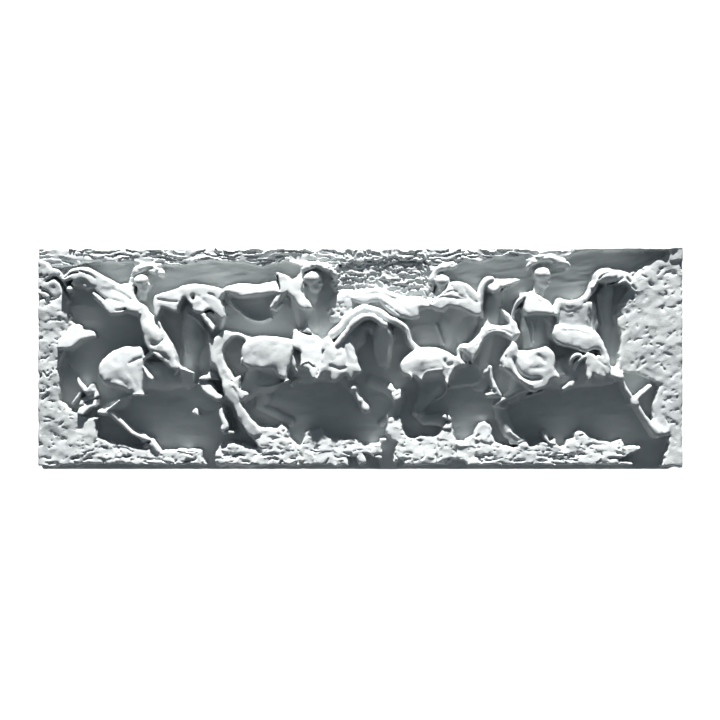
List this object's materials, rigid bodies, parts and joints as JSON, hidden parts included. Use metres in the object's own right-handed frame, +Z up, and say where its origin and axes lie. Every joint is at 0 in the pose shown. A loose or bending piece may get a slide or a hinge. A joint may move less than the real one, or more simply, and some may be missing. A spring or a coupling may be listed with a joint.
{
  "type": "relief plaque",
  "caption": "Long cast plaster wall plaque with a deep relief of riders on galloping horses, cloaks flying, inside a rough rocky border.",
  "frame": {"origin": "centre of the flat back face, where the plaque lies against the wall", "axes": "+X to the right along the plaque seen from the front, +Z up, +Y into the wall; the relief faces -Y"},
  "size_m": [0.6, 0.0372, 0.207],
  "materials": {
    "plaster": "matt white plaster, slightly chalky"
  },
  "bodies": {
    "root": {"relief_plaque": "plaster"}
  },
  "joints": []
}
